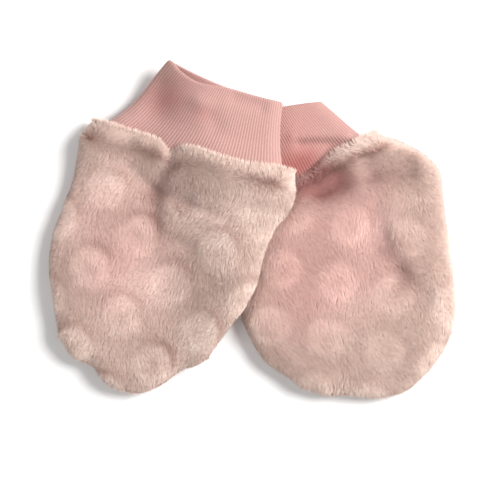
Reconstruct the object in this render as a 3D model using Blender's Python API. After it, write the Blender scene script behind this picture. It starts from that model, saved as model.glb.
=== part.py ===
"""A pair of baby scratch mittens, laid flat, the left one lapping over the right one.

Each mitten is sewn from three cut pieces: a front and a back panel of dotted plush, and a rib-knit
cuff that is folded double into a tube. Every piece is a wall of its own with a closed surface.

Blender units are metres, and the sizes below are millimetres until a point is placed. A mitten is
drawn in its own frame: a station runs along it, from 0 at the cuff seam to the fingertip, negative
towards the mouth of the cuff, and the reach is how far it lies left or right of its middle line.
"""

import math

import bmesh
import bpy
from mathutils import Vector

MM = 0.001

# Cloth
SEAM_GAP = 0.3
FRONT_WALL = 2.8
BACK_WALL = 2.2
CUFF_WALL = 1.5

# The sewn body
SEAM_HEIGHT = 5.2
FRONT_ROUND = 10.0
BACK_ROUND = 8.0
CROWN_DROP = 0.8
LIP_ROUND = 4.5
LIP_DROP = 1.6
TUCK = 4.6
TUCK_SLACK = 0.45
WAVES_FROM = 52.0

# The cuff, from its seam to its mouth
CUFF_HEIGHT = 8.2
CUFF_SIDE_HEIGHT = 3.9
CUFF_ROUND = 5.5
CUFF_SETTLE = 9.0
MOUTH_SOFTEN = 0.5
RIBS = 55
RIB_RELIEF = 0.32

# The plush dots, on a square net that stands on its corner
DOT_PITCH = 20.3
DOT_CREST = 5.2
DOT_SPREAD = 2.5
DOT_RELIEF = 1.2
DOT_CENTRE = 0.55
FIRST_DOTS = 9.0
DOT_FADE = 7.0

# How the left mitten lies on the right one
LAP_EDGE = ((-15.0, 36.0), (-3.0, -33.0))
LAP_RAMP = (-28.0, 4.0)
LAP_CUFF_HEIGHT = 9.3
LAP_BODY_HEIGHT = 12.0
LAP_STEP = (32.0, 20.0)
PRESS_EDGE = ((17.0, 18.0), (-4.6, -33.0))
PRESS_RAMP = 8.0
PRESSED = 0.85
PRESS_FROM = (-12.0, -3.0)

# The layout's own middle, so that the finished pair is centred on the origin
CENTRE = (0.5, -0.3)

# How finely each wall is divided
PANEL_STEP = 2.65
ROUND_STEPS = 6
PANEL_RATIO = 2
CUFF_RATIO = 3
CUFF_BELOW_STEPS = 22

PLUSH_COLOUR = (0.80, 0.62, 0.56, 1.0)
CUFF_COLOUR = (0.80, 0.50, 0.47, 1.0)

BODY_COLUMNS = ("station", "left", "right", "slant", "bow", "rise")
CUFF_COLUMNS = ("station", "left", "right", "slant", "bow")
FOLD_COLUMNS = ("from_station", "from_reach", "to_station", "to_reach", "width", "lift")
WAVE_COLUMNS = ("reach", "width", "out")

LEFT = {
    "name": "left",
    "seam_middle": (-21.3, 28.0),
    "turn": -12.4,
    "lapped": True,
    "dot_at": (45.3, -25.5),
    "dot_turn": 0.0,
    "mouth_setback": 2.6,
    "body": (
        (-1.3, 34.7, 37.0, 3.3, 2.5, 13.6),
        (1.5, 37.5, 38.4, 3.0, 2.3, 13.7),
        (4.0, 38.7, 39.6, 2.6, 2.0, 13.5),
        (8.0, 39.1, 40.0, 2.0, 1.6, 12.5),
        (14.0, 38.7, 38.8, 1.0, 1.0, 10.8),
        (20.0, 38.7, 35.6, 0.0, 0.5, 11.0),
        (30.0, 40.0, 33.9, 0.0, 0.2, 11.6),
        (40.0, 41.3, 33.4, 0.0, 1.0, 11.7),
        (50.0, 40.4, 30.8, 0.0, 3.0, 11.6),
        (60.0, 36.6, 26.4, -1.0, 7.2, 11.3),
        (67.0, 33.8, 23.6, -2.5, 12.0, 10.8),
        (72.0, 31.4, 21.8, -3.5, 15.6, 10.3),
    ),
    "tip_waves": (
        (-17.5, 5.0, -3.2),
        (0.5, 4.0, 0.8),
        (13.5, 4.2, -2.6),
    ),
    "cuff": (
        (-26.0, 14.5, 28.3, 6.3, 1.8),
        (-20.0, 17.8, 28.9, 6.0, 1.2),
        (-13.0, 21.4, 30.1, 5.2, 1.8),
        (-7.0, 25.6, 31.6, 4.3, 2.2),
    ),
    "folds": (
        (9.8, -20.0, 16.6, -7.0, 3.6, -1.3),
        (16.6, -7.0, 18.0, 3.0, 3.6, -1.7),
        (18.0, 3.0, 18.5, 20.0, 4.0, -1.2),
        (16.0, -9.5, 29.0, -5.5, 2.6, -1.5),
        (31.0, -3.0, 33.0, 8.0, 2.6, -0.9),
        (2.0, -6.0, 10.0, -7.5, 3.0, -1.5),
        (3.0, -17.0, 5.0, -10.0, 4.0, 0.6),
        (-20.0, -16.0, -14.0, -15.0, 6.0, -1.8),
        (-17.5, -0.5, -16.5, 1.0, 3.6, 1.0),
        (-13.0, 4.5, -10.0, 7.0, 3.4, -0.9),
        (-20.5, 12.0, -19.5, 21.0, 2.6, -0.8),
    ),
}

RIGHT = {
    "name": "right",
    "seam_middle": (10.5, 15.0),
    "turn": 27.0,
    "lapped": False,
    "dot_at": (37.0, 3.2),
    "dot_turn": 5.5,
    "mouth_setback": 0.0,
    "body": (
        (-2.1, 25.0, 37.7, 0.0, 1.8, 13.6),
        (0.5, 26.0, 41.2, 0.5, 1.6, 13.7),
        (4.0, 27.2, 45.4, 1.0, 1.3, 13.5),
        (8.0, 28.0, 48.4, 1.0, 1.0, 12.5),
        (14.0, 29.0, 51.6, 0.5, 0.6, 11.0),
        (21.0, 30.5, 52.7, 0.0, 0.3, 11.2),
        (30.0, 33.0, 49.4, 0.0, 0.2, 11.7),
        (40.0, 34.0, 45.8, 0.0, 1.0, 11.8),
        (50.0, 33.6, 42.4, 0.0, 3.0, 11.7),
        (58.0, 30.7, 38.8, 2.0, 6.5, 11.3),
        (64.0, 28.0, 35.4, 4.5, 10.0, 10.8),
        (69.5, 25.8, 30.4, 7.0, 13.3, 10.3),
    ),
    "tip_waves": (
        (-11.0, 6.0, -1.6),
        (6.5, 6.0, 0.9),
    ),
    "cuff": (
        (-25.5, 13.0, 26.5, 10.0, -1.2),
        (-18.0, 15.5, 29.2, 8.0, -0.6),
        (-11.0, 18.0, 31.4, 5.0, 0.3),
        (-6.0, 20.3, 33.0, 2.5, 1.2),
    ),
    "folds": (
        (6.0, 13.5, 6.0, 18.0, 5.8, -2.3),
        (8.5, 31.0, 11.0, 42.0, 3.2, -2.2),
        (7.5, 20.0, 8.5, 31.0, 3.8, -1.2),
        (-1.0, 4.0, -1.5, 20.0, 4.5, -1.6),
        (-10.5, 13.0, -2.5, 28.0, 2.2, -1.3),
        (-13.5, 12.0, -6.0, 29.0, 2.4, 0.8),
        (21.5, 26.5, 33.0, 24.0, 3.6, -1.3),
        (33.0, 24.0, 46.0, 23.0, 3.6, -1.6),
        (46.0, 23.0, 57.0, 27.5, 3.4, -1.1),
    ),
}


def rows(table, columns):
    """The rows of a table as dictionaries."""
    return [dict(zip(columns, row)) for row in table]


def along(table, column, station):
    """A column's value at a station, on a smooth curve through the table's rows."""
    knots = [(row["station"], row[column]) for row in table]
    if station <= knots[0][0]:
        return knots[0][1]
    if station >= knots[-1][0]:
        return knots[-1][1]
    last = len(knots) - 1
    i = next(k for k in range(last) if station <= knots[k + 1][0])
    (x0, y0), (x1, y1) = knots[i], knots[i + 1]

    def slope(k):
        before, after = knots[max(k - 1, 0)], knots[min(k + 1, last)]
        return (after[1] - before[1]) / (after[0] - before[0])

    t = (station - x0) / (x1 - x0)
    span = x1 - x0
    return (
        y0 * (2 * t**3 - 3 * t**2 + 1)
        + span * slope(i) * (t**3 - 2 * t**2 + t)
        + y1 * (3 * t**2 - 2 * t**3)
        + span * slope(i + 1) * (t**3 - t**2)
    )


def smooth(x):
    """0 below 0, 1 above 1, and a soft step between."""
    x = min(max(x, 0.0), 1.0)
    return x * x * (3 - 2 * x)


def rounded(distance, radius):
    """Height share of a rounded edge: 0 at its rim, 1 from the radius inwards."""
    x = min(max(distance / radius, 0.0), 1.0)
    return math.sqrt(1 - (1 - x) ** 2)


def nearer(a, b):
    """A soft smaller of two distances, which is 0 where either is 0."""
    if a <= 0 or b <= 0:
        return 0.0
    return (a**-4 + b**-4) ** -0.25


def from_line(point, line):
    """Distance of a plan point to the right of a line that runs down the layout."""
    (x0, y0), (x1, y1) = line
    length = math.hypot(x1 - x0, y1 - y0)
    return ((point[1] - y0) * (x1 - x0) - (point[0] - x0) * (y1 - y0)) / length


def from_stretch(at, fold):
    """Distance of a mitten's point (station, reach) from a fold's straight run."""
    ax, ay = fold["from_station"], fold["from_reach"]
    bx, by = fold["to_station"], fold["to_reach"]
    dx, dy = bx - ax, by - ay
    t = ((at[0] - ax) * dx + (at[1] - ay) * dy) / (dx * dx + dy * dy)
    t = min(max(t, 0.0), 1.0)
    return math.hypot(at[0] - ax - t * dx, at[1] - ay - t * dy)


class Mitten:
    """One mitten's shape, from its tables."""

    def __init__(self, facts):
        self.name = facts["name"]
        self.facts = facts
        self.body = rows(facts["body"], BODY_COLUMNS)
        self.cuff = rows(facts["cuff"], CUFF_COLUMNS)
        self.folds = rows(facts["folds"], FOLD_COLUMNS)
        self.waves = rows(facts["tip_waves"], WAVE_COLUMNS)
        self.lip = self.body[0]["station"]
        self.tip = self.body[-1]["station"]
        self.mouth = self.cuff[0]["station"]
        inside = FRONT_WALL + SEAM_GAP + TUCK_SLACK
        for station in (self.lip, self.lip + TUCK / 2, self.lip + TUCK):
            row = {c: along(self.body, c, station) for c in ("slant", "bow")}
            for side in ("left", "right"):
                row[side] = along(self.body, side, station) - inside
            self.cuff.append({"station": station, **row})
        self.cuff_end = self.lip + TUCK

    def place(self, table, u, station, inset=0.0, tip_inset=0.0):
        """(station, reach, distance in from the side) of the share u of a section, from -1 to 1."""
        left = along(table, "left", station) - inset
        right = along(table, "right", station) - inset
        half = (left + right) / 2
        at = station + along(table, "slant", station) * u / 2
        at += along(table, "bow", station) * (1 - u * u)
        at -= tip_inset * (station - self.lip) / (self.tip - self.lip)
        reach = (right - left) / 2 + u * half
        near_tip = smooth((station - WAVES_FROM) / (self.tip - WAVES_FROM))
        for wave in self.waves if near_tip else ():
            at += near_tip * wave["out"] * math.exp(-(((reach - wave["reach"]) / wave["width"]) ** 2))
        return at, reach, (1 - abs(u)) * half

    def fold_lift(self, at, reach, side_gap):
        """How far the folds lift the upper cloth at a point, in mm."""
        total = 0.0
        for fold in self.folds:
            total += fold["lift"] * math.exp(-((from_stretch((at, reach), fold) / fold["width"]) ** 2))
        return total * smooth(side_gap / 8.0)

    def dot_relief(self, at, reach):
        """The plush dots' relief: a ring-shaped crest round each point of a square net."""
        turn = math.radians(45 + self.facts["dot_turn"])
        x, y = at - self.facts["dot_at"][0], reach - self.facts["dot_at"][1]
        p = (x * math.cos(turn) + y * math.sin(turn)) / DOT_PITCH
        q = (y * math.cos(turn) - x * math.sin(turn)) / DOT_PITCH
        r = DOT_PITCH * math.hypot(p - round(p), q - round(q))
        ring = math.exp(-(((r - DOT_CREST) / DOT_SPREAD) ** 2))
        if r < DOT_CREST:
            ring = max(ring, 1 - (1 - DOT_CENTRE) * (1 - r / DOT_CREST) ** 2)
        return DOT_RELIEF * ring * smooth((at - FIRST_DOTS) / DOT_FADE)

    def edges(self, u, station, inset):
        """(station, reach, distance in from the side, distance in from the rim) on a panel."""
        at, reach, side = self.place(self.body, u, station, inset, inset)
        end = self.place(self.body, u, self.tip, inset, inset)[0]
        return at, reach, side, nearer(side, max(end - at, 0.0))

    def front(self, u, station, inset=0.0):
        """A point of the front panel's smooth outer face, or of its inner face at the wall's inset."""
        at, reach, side, rim = self.edges(u, station, inset)
        top = along(self.body, "rise", station) - CROWN_DROP * u * u - inset
        low = SEAM_HEIGHT + SEAM_GAP / 2
        height = low + (top - low) * rounded(rim, FRONT_ROUND - inset)
        height += self.fold_lift(at, reach, rim + inset)
        if not inset:
            height -= LIP_DROP * (1 - rounded(station - self.lip, LIP_ROUND)) * smooth(side / FRONT_ROUND)
        return Vector((at, reach, height))

    def back(self, u, station, inset=0.0):
        """A point of the back panel's outer face, or of its inner face at the wall's inset."""
        at, reach, _, rim = self.edges(u, station, inset)
        high = SEAM_HEIGHT - SEAM_GAP / 2
        height = high - (high - inset) * rounded(rim, BACK_ROUND - inset)
        return Vector((at, reach, height))

    def dotted_front(self, u, station):
        """The front's outer face with its dots, pushed out square to the cloth."""
        point = self.front(u, station)
        side = 0.004
        along_u = self.front(min(u + side, 1.0), station) - self.front(max(u - side, -1.0), station)
        s0, s1 = max(station - 0.3, self.lip), min(station + 0.3, self.tip)
        along_s = self.front(u, s1) - self.front(u, s0)
        normal = along_s.cross(along_u)
        if abs(u) > 0.999:
            normal = Vector((0.0, math.copysign(1.0, u), 0.0))
        elif station > self.tip - 0.001:
            normal = Vector((1.0, 0.0, 0.0))
        normal = normal.normalized()
        if normal.z < 0:
            normal.negate()
        return point + normal * self.dot_relief(point.x, point.y)

    def dotted_back(self, u, station):
        """The back's outer face: its rim meets the front's, and it is plain where it rests."""
        point = self.back(u, station)
        share = smooth((point.z / SEAM_HEIGHT - 0.35) / 0.6)
        relief = self.dot_relief(point.x, point.y) * share
        out = Vector((0.0, math.copysign(1.0, u), 0.0))
        if station > self.tip - 0.001 and abs(u) < 0.999:
            out = Vector((1.0, 0.0, 0.0))
        return point + out * relief if share > 0 else point

    def cuff_heights(self, station):
        """(side, top, bottom, rounding) of the cuff's outer section."""
        share = smooth((self.lip - station) / CUFF_SETTLE)
        tucked_top = self.body[0]["rise"] - FRONT_WALL - SEAM_GAP - TUCK_SLACK
        tucked_bottom = BACK_WALL + SEAM_GAP + TUCK_SLACK
        tucked_round = FRONT_ROUND - FRONT_WALL - SEAM_GAP
        return (
            SEAM_HEIGHT + (CUFF_SIDE_HEIGHT - SEAM_HEIGHT) * share,
            tucked_top + (CUFF_HEIGHT - tucked_top) * share,
            tucked_bottom * (1 - share),
            tucked_round + (CUFF_ROUND - tucked_round) * share,
        )

    def cuff_point(self, turn, station, inset=0.0, relief=0.0):
        """A point of the cuff's tube.

        The turn runs from 0 at the left side over the top to 1 at the right, and back under to 2.
        """
        above = turn <= 1
        u = 2 * turn - 1 if above else 3 - 2 * turn
        at, reach, side = self.place(self.cuff, u, station, inset)
        high, top, bottom, radius = self.cuff_heights(station)
        if above:
            drop = CROWN_DROP * u * u
            height = high + (top - drop - inset - high) * rounded(side, radius - inset)
            gap = side + inset + FRONT_WALL + SEAM_GAP
            height += self.fold_lift(at, reach, gap) + relief * smooth(side / 3.0)
            setback = math.exp(-(((u + 0.5) / 0.42) ** 2)) * smooth(side / 4.0)
            at += self.facts["mouth_setback"] * setback * smooth((self.mouth + 14.0 - station) / 14.0)
        else:
            height = high - (high - bottom - inset) * rounded(side, radius - inset)
        return Vector((at, reach, height))

    def in_plan(self, at, reach):
        """The layout's x and y of a mitten's point, in mm."""
        turn = math.radians(self.facts["turn"])
        x, y = self.facts["seam_middle"]
        x += reach * math.cos(turn) + at * math.sin(turn)
        y += reach * math.sin(turn) - at * math.cos(turn)
        return x, y

    def settle(self, point):
        """Lays a mitten's point in the layout, in metres.

        The left mitten rides up on the right one, which is pressed a little where it is covered.
        """
        x, y = self.in_plan(point.x, point.y)
        if self.facts["lapped"]:
            low, high = LAP_RAMP
            ramp = smooth((from_line((x, y), LAP_EDGE) - low) / (high - low))
            step = smooth((LAP_STEP[0] - y) / (LAP_STEP[0] - LAP_STEP[1]))
            z = point.z + ramp * (LAP_CUFF_HEIGHT + (LAP_BODY_HEIGHT - LAP_CUFF_HEIGHT) * step)
        else:
            covered = smooth((PRESS_RAMP / 2 - from_line((x, y), PRESS_EDGE)) / PRESS_RAMP)
            covered *= smooth((point.x - PRESS_FROM[0]) / (PRESS_FROM[1] - PRESS_FROM[0]))
            z = point.z * (1 - (1 - PRESSED) * covered)
        return Vector(((x - CENTRE[0]) * MM, (y - CENTRE[1]) * MM, z * MM))


def spaced(low, high, step, round_low, round_high, steps):
    """Stations from low to high with an even number of gaps, close together at the rounded ends."""
    shares = [1 - math.cos(math.pi / 2 * k / steps) for k in range(steps)]
    starts = [low + round_low * share for share in shares] if round_low else []
    ends = [high - round_high * share for share in shares] if round_high else []
    a, b = low + round_low, high - round_high
    gaps = max(1, round((b - a) / step))
    if (len(starts) + len(ends) + gaps) % 2:
        gaps += 1
    return starts + [a + (b - a) * k / gaps for k in range(gaps + 1)] + ends[::-1]


def sheet(mesh, points):
    """A grid of vertices and faces from rows of points, facing up. Gives the vertices, row by row."""
    grid = [[mesh.verts.new(point) for point in row] for row in points]
    for row, following in zip(grid, grid[1:]):
        for k in range(len(row) - 1):
            mesh.faces.new((row[k], following[k], following[k + 1], row[k + 1]))
    return grid


def tube(mesh, points):
    """The same for closed rings of points."""
    grid = [[mesh.verts.new(point) for point in ring] for ring in points]
    for ring, following in zip(grid, grid[1:]):
        for k in range(len(ring)):
            after = (k + 1) % len(ring)
            mesh.faces.new((ring[k], following[k], following[after], ring[after]))
    return grid


def rim_of(grid):
    """A sheet's border, once round."""
    right = [row[-1] for row in grid[1:-1]]
    left = [row[0] for row in grid[-2:0:-1]]
    return grid[0] + right + grid[-1][::-1] + left


def close_edge(mesh, fine, coarse):
    """Joins a closed loop of vertices to one that has a whole share of them."""
    ratio = len(fine) // len(coarse)
    for k, near in enumerate(coarse):
        far = coarse[(k + 1) % len(coarse)]
        run = [fine[(k * ratio + i) % len(fine)] for i in range(ratio + 1)]
        half = (ratio + 1) // 2
        for i in range(ratio):
            mesh.faces.new((run[i], run[i + 1], near if i < half else far))
        mesh.faces.new((run[half], far, near))


def finished(name, mesh, colour, roughness, collection):
    """Turns a bmesh wall into a named object with its own material."""
    bmesh.ops.recalc_face_normals(mesh, faces=mesh.faces)
    data = bpy.data.meshes.new(name)
    mesh.to_mesh(data)
    mesh.free()
    data.shade_smooth()
    data.set_sharp_from_angle(angle=math.radians(50))
    material = bpy.data.materials.new(name)
    material.use_nodes = True
    shader = material.node_tree.nodes["Principled BSDF"]
    shader.inputs["Base Color"].default_value = colour
    shader.inputs["Roughness"].default_value = roughness
    shader.inputs["Metallic"].default_value = 0.0
    data.materials.append(material)
    obj = bpy.data.objects.new(name, data)
    collection.objects.link(obj)
    return obj


def panel(mitten, name, outer, inner, collection):
    """A plush panel: an outer sheet, a coarser inner sheet, and the cut edge between them."""
    widest = max(row["left"] + row["right"] for row in mitten.body)
    columns = spaced(-widest / 2, widest / 2, PANEL_STEP, FRONT_ROUND, FRONT_ROUND, ROUND_STEPS)
    columns = [2 * c / widest for c in columns]
    stations = spaced(mitten.lip, mitten.tip, PANEL_STEP, 0.0, FRONT_ROUND * 0.8, ROUND_STEPS)
    mesh = bmesh.new()
    outside = sheet(mesh, [[mitten.settle(outer(u, s)) for u in columns] for s in stations])
    coarse = [[mitten.settle(inner(u, s)) for u in columns[::PANEL_RATIO]] for s in stations[::PANEL_RATIO]]
    inside = sheet(mesh, coarse)
    close_edge(mesh, rim_of(outside), rim_of(inside))
    return finished(f"{mitten.name}_{name}", mesh, PLUSH_COLOUR, 0.95, collection)


def front_panel(mitten, collection):
    def inner(u, s):
        return mitten.front(u, s, FRONT_WALL)

    return panel(mitten, "front_panel", mitten.dotted_front, inner, collection)


def back_panel(mitten, collection):
    def inner(u, s):
        return mitten.back(u, s, BACK_WALL)

    return panel(mitten, "back_panel", mitten.dotted_back, inner, collection)


def cuff(mitten, collection):
    """The rib-knit tube: a crest and a valley for each rib on the side that shows, and a plain inside."""
    above = [k / (2 * RIBS) for k in range(2 * RIBS)]
    below = [1 + k / CUFF_BELOW_STEPS for k in range(CUFF_BELOW_STEPS)]
    turns = above + below
    stations = [
        mitten.mouth,
        mitten.mouth + 1.2,
        mitten.mouth + 7.0,
        mitten.mouth + 13.0,
        mitten.mouth + 18.5,
        mitten.lip,
        mitten.cuff_end,
    ]

    def outer(turn, station, index):
        relief = RIB_RELIEF if index % 2 and index < 2 * RIBS else 0.0
        if station in (mitten.mouth, mitten.cuff_end):
            return mitten.cuff_point(turn, station, MOUTH_SOFTEN)
        return mitten.cuff_point(turn, station, 0.0, relief)

    mesh = bmesh.new()
    rings = [[mitten.settle(outer(t, s, k)) for k, t in enumerate(turns)] for s in stations]
    outside = tube(mesh, rings)
    inner_turns = turns[::CUFF_RATIO]
    rings = [
        [mitten.settle(mitten.cuff_point(t, s, CUFF_WALL)) for t in inner_turns] for s in stations[::2]
    ]
    inside = tube(mesh, rings)
    close_edge(mesh, outside[0], inside[0])
    close_edge(mesh, outside[-1], inside[-1])
    return finished(f"{mitten.name}_cuff", mesh, CUFF_COLOUR, 0.85, collection)


def main():
    for obj in list(bpy.data.objects):
        bpy.data.objects.remove(obj)
    collection = bpy.data.collections.new("scratch_mittens")
    bpy.context.scene.collection.children.link(collection)
    for facts in (LEFT, RIGHT):
        mitten = Mitten(facts)
        front_panel(mitten, collection)
        back_panel(mitten, collection)
        cuff(mitten, collection)


main()
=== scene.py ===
# %% [markdown]
# # A pair of baby scratch mittens
#
# A scratch mitten is a small bag without a thumb. Two plush panels are sewn round their edge, and a
# ring of rib knit, folded double, is sewn inside the mouth. The pair lies flat, and the left mitten
# laps over the right one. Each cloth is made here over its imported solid, in the same frame.

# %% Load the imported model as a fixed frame
import math
from types import SimpleNamespace

import bmesh
import bpy
import numpy as np
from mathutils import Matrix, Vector


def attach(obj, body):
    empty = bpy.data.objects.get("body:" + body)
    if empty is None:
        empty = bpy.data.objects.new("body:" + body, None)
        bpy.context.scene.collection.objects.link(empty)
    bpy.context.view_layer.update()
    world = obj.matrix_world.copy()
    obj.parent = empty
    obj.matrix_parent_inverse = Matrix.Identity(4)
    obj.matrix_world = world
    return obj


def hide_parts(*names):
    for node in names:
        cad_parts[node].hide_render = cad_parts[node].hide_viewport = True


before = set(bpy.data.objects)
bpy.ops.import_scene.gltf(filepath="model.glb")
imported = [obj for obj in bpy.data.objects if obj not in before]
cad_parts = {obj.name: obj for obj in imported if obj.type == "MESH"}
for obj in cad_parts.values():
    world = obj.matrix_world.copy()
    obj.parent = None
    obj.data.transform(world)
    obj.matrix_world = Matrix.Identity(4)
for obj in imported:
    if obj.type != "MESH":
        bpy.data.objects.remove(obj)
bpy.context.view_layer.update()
MM = 0.001

# %% [markdown]
# ## The mitten's tables
#
# Cloth that lies flat has no simple shape, but it is even enough to draw from a few cross-sections.
# A station runs along the mitten from its seam to the fingertip. Each row gives how far the cloth
# reaches left and right there, how the section slants and bows, and how high it stands. They are
# the tables that the solids were made from, with a few folds and the dots drawn finer here, so the
# cloth lands on its solid without any fitting.

# %% Sizes of the sewn bag, in millimetres
SEAM_GAP = 0.3
FRONT_WALL = 2.8
BACK_WALL = 2.2
CUFF_WALL = 1.5
SEAM_HEIGHT = 5.2
FRONT_ROUND = 10.0
BACK_ROUND = 8.0
CROWN_DROP = 0.8
LIP_ROUND = 4.5
LIP_DROP = 1.6
TUCK = 4.6
TUCK_SLACK = 0.45
WAVES_FROM = 52.0
CUFF_HEIGHT = 8.2
CUFF_SIDE_HEIGHT = 3.9
CUFF_ROUND = 5.5
CUFF_SETTLE = 9.0
LIP_NOTCH_FADE = 12.0
FOLD_FADE = 8.0
SETBACK_AT = -0.5
SETBACK_WIDTH = 0.42
SETBACK_SIDE = 4.0
SETBACK_LENGTH = 14.0

# %% Sizes of the dots and of the lap
DOT_PITCH = 20.3
DOT_CREST = 5.6
DOT_SPREAD = 1.7
DOT_RELIEF = 0.35
DOT_CENTRE = 0.45
FIRST_DOTS = 9.0
DOT_FADE = 7.0
LAP_EDGE = ((-15.0, 36.0), (-3.0, -33.0))
LAP_RAMP = (-28.0, 4.0)
LAP_CUFF_HEIGHT = 9.3
LAP_BODY_HEIGHT = 12.0
LAP_STEP = (32.0, 20.0)
PRESS_EDGE = ((17.0, 18.0), (-4.6, -33.0))
PRESS_RAMP = 8.0
PRESSED = 0.85
PRESS_FROM = (-12.0, -3.0)
CENTRE = (0.5, -0.3)

# %% The two mittens' tables
# A notch is (reach, width, depth). A spot is (station, reach, width, strength).
BODY_COLUMNS = ("station", "left", "right", "slant", "bow", "rise")
CUFF_COLUMNS = ("station", "left", "right", "slant", "bow")
FOLD_COLUMNS = ("from_station", "from_reach", "to_station", "to_reach", "width", "lift")
WAVE_COLUMNS = ("reach", "width", "out")

LEFT = {
    "name": "left",
    "seam_middle": (-21.3, 28.0),
    "turn": -12.4,
    "lapped": True,
    "dot_at": (45.3, -25.5),
    "dot_turn": 0.0,
    "mouth_setback": 2.6,
    "dot_shade": 1.5,
    "lip_notches": ((-7.0, 3.0, 3.0), (2.0, 5.0, -0.9), (-16.0, 6.0, -0.4), (20.0, 7.0, 0.6)),
    "flattened": ((16.6, 2.9, 8.0, 0.8),),
    # Parted pile, darkened as painted shade in the hollows under the lip.
    "parted": ((15.5, -7.5, 4.0, 0.28), (18.0, 0.0, 3.0, 0.12), (25.0, -7.5, 3.0, 0.15)),
    # Painted shade on the cuff, in patches where it dips.
    "deep": ((-16.0, -12.0, 7.0, 0.5), (-13.0, 2.0, 3.5, 0.25)),
    "blushed": ((26.0, -22.0, 20.0, 0.55), (45.0, -8.0, 20.0, 0.5), (50.0, -20.0, 14.0, 0.3)),
    "body": (
        (-1.3, 34.7, 37.0, 3.3, 2.5, 13.6),
        (1.5, 37.5, 38.4, 3.0, 2.3, 13.7),
        (4.0, 38.7, 39.6, 2.6, 2.0, 13.5),
        (8.0, 39.1, 40.0, 2.0, 1.6, 12.7),
        (14.0, 38.7, 38.8, 1.0, 1.0, 11.6),
        (20.0, 38.7, 35.6, 0.0, 0.5, 11.4),
        (30.0, 40.0, 33.9, 0.0, 0.2, 11.6),
        (40.0, 41.3, 33.4, 0.0, 1.0, 11.7),
        (50.0, 40.4, 30.8, 0.0, 3.0, 11.6),
        (60.0, 36.6, 26.4, -1.0, 7.2, 11.3),
        (67.0, 33.8, 23.6, -2.5, 12.0, 10.8),
        (72.0, 31.4, 21.8, -3.5, 15.6, 10.3),
    ),
    "tip_waves": (
        (-17.5, 5.0, -3.2),
        (0.5, 4.0, 0.8),
        (13.5, 4.2, -2.6),
    ),
    "cuff": (
        (-26.0, 14.5, 28.3, 6.3, 1.8),
        (-20.0, 17.8, 28.9, 6.0, 1.2),
        (-13.0, 21.4, 30.1, 5.2, 1.8),
        (-7.0, 25.6, 31.6, 4.3, 2.2),
    ),
    "folds": (
        (9.8, -20.0, 16.6, -7.0, 3.0, -1.0),
        (16.6, -7.0, 18.0, 3.0, 3.0, -0.7),
        (18.0, 3.0, 20.5, 18.0, 2.2, -0.7),
        (16.0, -9.5, 29.0, -5.5, 2.2, -1.3),
        (31.0, -3.0, 33.0, 8.0, 2.6, -0.9),
        (2.0, -5.0, 11.0, -7.5, 2.2, -1.5),
        (2.0, -17.0, 4.0, -10.5, 3.5, 1.3),
        (-20.0, -16.0, -14.0, -15.0, 6.0, -1.8),
        (-17.5, -0.5, -16.5, 1.0, 3.6, 1.0),
        (-13.0, 4.5, -10.0, 7.0, 3.4, -0.9),
        (-20.5, 12.0, -19.5, 21.0, 2.6, -0.8),
    ),
}

RIGHT = {
    "name": "right",
    "seam_middle": (10.5, 15.0),
    "turn": 27.0,
    "lapped": False,
    "dot_at": (37.0, 3.2),
    "dot_turn": 5.5,
    "mouth_setback": 0.0,
    "dot_shade": 0.5,
    "lip_notches": ((11.0, 5.0, 1.5), (24.0, 7.0, -0.8)),
    "flattened": ((18.3, 44.5, 8.0, 1.0), (5.0, 30.0, 8.0, 1.0)),
    # Parted pile, darkened as painted shade in the hollows under the lip.
    "parted": (
        (5.5, 13.5, 5.5, 1.0),
        (2.5, 6.0, 4.5, 0.8),
        (7.0, 20.0, 4.0, 0.4),
        (-1.5, 11.0, 6.5, 0.9),
    ),
    # Painted shade on the cuff, in patches where it dips.
    "deep": (
        (-3.0, 4.0, 6.5, 0.8),
        (-4.0, 13.0, 5.0, 0.6),
        (-10.0, 5.0, 6.0, 0.2),
        (-14.0, 12.0, 18.0, 0.2),
    ),
    "blushed": (
        (18.0, 0.0, 22.0, 0.8),
        (36.0, 14.0, 20.0, 0.7),
        (40.0, -14.0, 18.0, 0.6),
        (16.0, 26.0, 12.0, 0.5),
    ),
    "body": (
        (-2.1, 25.0, 37.7, 0.0, 1.8, 13.6),
        (0.5, 26.0, 41.2, 0.5, 1.6, 13.7),
        (4.0, 27.2, 45.4, 1.0, 1.3, 13.5),
        (8.0, 28.0, 48.4, 1.0, 1.0, 12.5),
        (14.0, 29.0, 51.6, 0.5, 0.6, 11.0),
        (21.0, 30.5, 52.7, 0.0, 0.3, 11.2),
        (30.0, 33.0, 49.4, 0.0, 0.2, 11.7),
        (40.0, 34.0, 45.8, 0.0, 1.0, 11.8),
        (50.0, 33.6, 42.4, 0.0, 3.0, 11.7),
        (58.0, 30.7, 38.8, 2.0, 6.5, 11.3),
        (64.0, 28.0, 35.4, 4.5, 10.0, 10.8),
        (69.5, 25.8, 30.4, 7.0, 13.3, 10.3),
    ),
    "tip_waves": (
        (-11.0, 6.0, -1.6),
        (6.5, 6.0, 0.9),
    ),
    "cuff": (
        (-25.5, 13.0, 26.5, 10.0, -1.2),
        (-18.0, 15.5, 29.2, 8.0, -0.6),
        (-11.0, 18.0, 31.4, 5.0, 0.3),
        (-6.0, 20.3, 33.0, 2.5, 1.2),
    ),
    "folds": (
        (5.0, 11.0, 6.0, 17.0, 5.5, -3.3),
        (8.5, 30.0, 12.0, 43.0, 4.4, -2.1),
        (8.0, 23.0, 8.5, 30.0, 3.8, -1.1),
        (-2.0, 2.0, -2.5, 20.0, 4.5, -2.2),
        (-10.5, 13.0, -2.5, 28.0, 2.2, -1.4),
        (-13.5, 12.0, -6.0, 29.0, 2.4, 0.9),
        (21.5, 26.5, 33.0, 24.0, 3.6, -1.3),
        (33.0, 24.0, 46.0, 23.0, 3.6, -1.6),
        (46.0, 23.0, 57.0, 27.5, 3.4, -1.1),
    ),
}


# %% Reading a table
def smooth(x):
    """0 below 0, 1 above 1, and a soft step between."""
    x = min(max(x, 0.0), 1.0)
    return x * x * (3 - 2 * x)


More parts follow.
